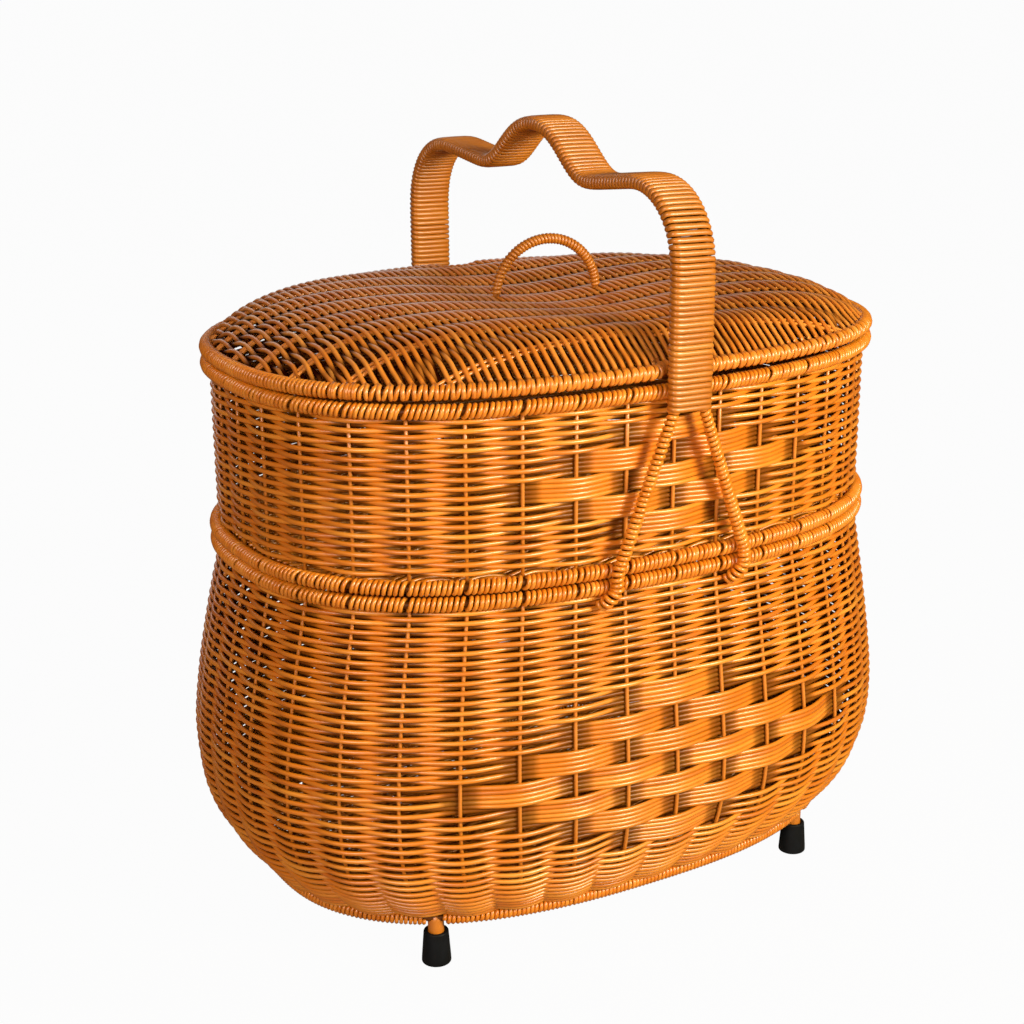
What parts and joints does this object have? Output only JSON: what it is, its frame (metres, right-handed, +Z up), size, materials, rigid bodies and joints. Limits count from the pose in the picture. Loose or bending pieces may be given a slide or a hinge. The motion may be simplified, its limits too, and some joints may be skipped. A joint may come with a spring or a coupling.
{
  "type": "tiered storage basket",
  "caption": "Lidded basket of woven cane in stacked tiers on capped feet, with a fixed arched carrying handle, for picnics and storage.",
  "frame": {"origin": "on the ground, midway between the four feet", "axes": "+X along the basket, +Y from front to back, +Z up"},
  "size_m": [0.4324, 0.3004, 0.4584],
  "materials": {
    "wall_cane": "satin extruded cane, woven",
    "rim_cane": "satin extruded cane, wound tight",
    "handle_cane": "satin extruded cane, wound tight",
    "lid_cane": "satin extruded cane, woven",
    "coated_wire": "plastic-coated steel wire",
    "foot_post": "coated steel rod",
    "foot_rubber": "moulded, matt"
  },
  "bodies": {
    "lower_tier": {"lower_frame": "coated_wire", "lower_wall_weave": "wall_cane", "lower_floor_weave": "wall_cane", "lower_rim_binding": "rim_cane", "base_binding_front": "rim_cane", "base_binding_back": "rim_cane", "base_binding_left": "rim_cane", "base_binding_right": "rim_cane", "leg_post_front_left": "foot_post", "leg_post_front_right": "foot_post", "leg_post_back_left": "foot_post", "leg_post_back_right": "foot_post", "foot_cap_front_left": "foot_rubber", "foot_cap_front_right": "foot_rubber", "foot_cap_back_left": "foot_rubber", "foot_cap_back_right": "foot_rubber", "handle_rod_left": "coated_wire", "handle_rod_right": "coated_wire", "handle_band_binding": "handle_cane", "handle_leg_binding_front_left": "handle_cane", "handle_leg_binding_front_right": "handle_cane", "handle_leg_binding_back_left": "handle_cane", "handle_leg_binding_back_right": "handle_cane"},
    "upper_tier": {"upper_frame": "coated_wire", "upper_wall_weave": "wall_cane", "upper_floor_weave": "wall_cane", "upper_foot_binding": "rim_cane", "upper_rim_binding": "rim_cane"},
    "lid": {"lid_frame": "coated_wire", "lid_rim_binding": "rim_cane", "lid_weave": "lid_cane", "lid_handle_rod": "coated_wire", "lid_handle_binding": "rim_cane"}
  },
  "joints": [
    {"name": "tier_lift", "type": "slide", "parent": "lower_tier", "child": "upper_tier", "axis": [0, 0, 1], "range_m": [0, 0.03]},
    {"name": "lid_lift", "type": "slide", "parent": "upper_tier", "child": "lid", "axis": [0, 0, 1], "range_m": [0, 0.022]}
  ]
}
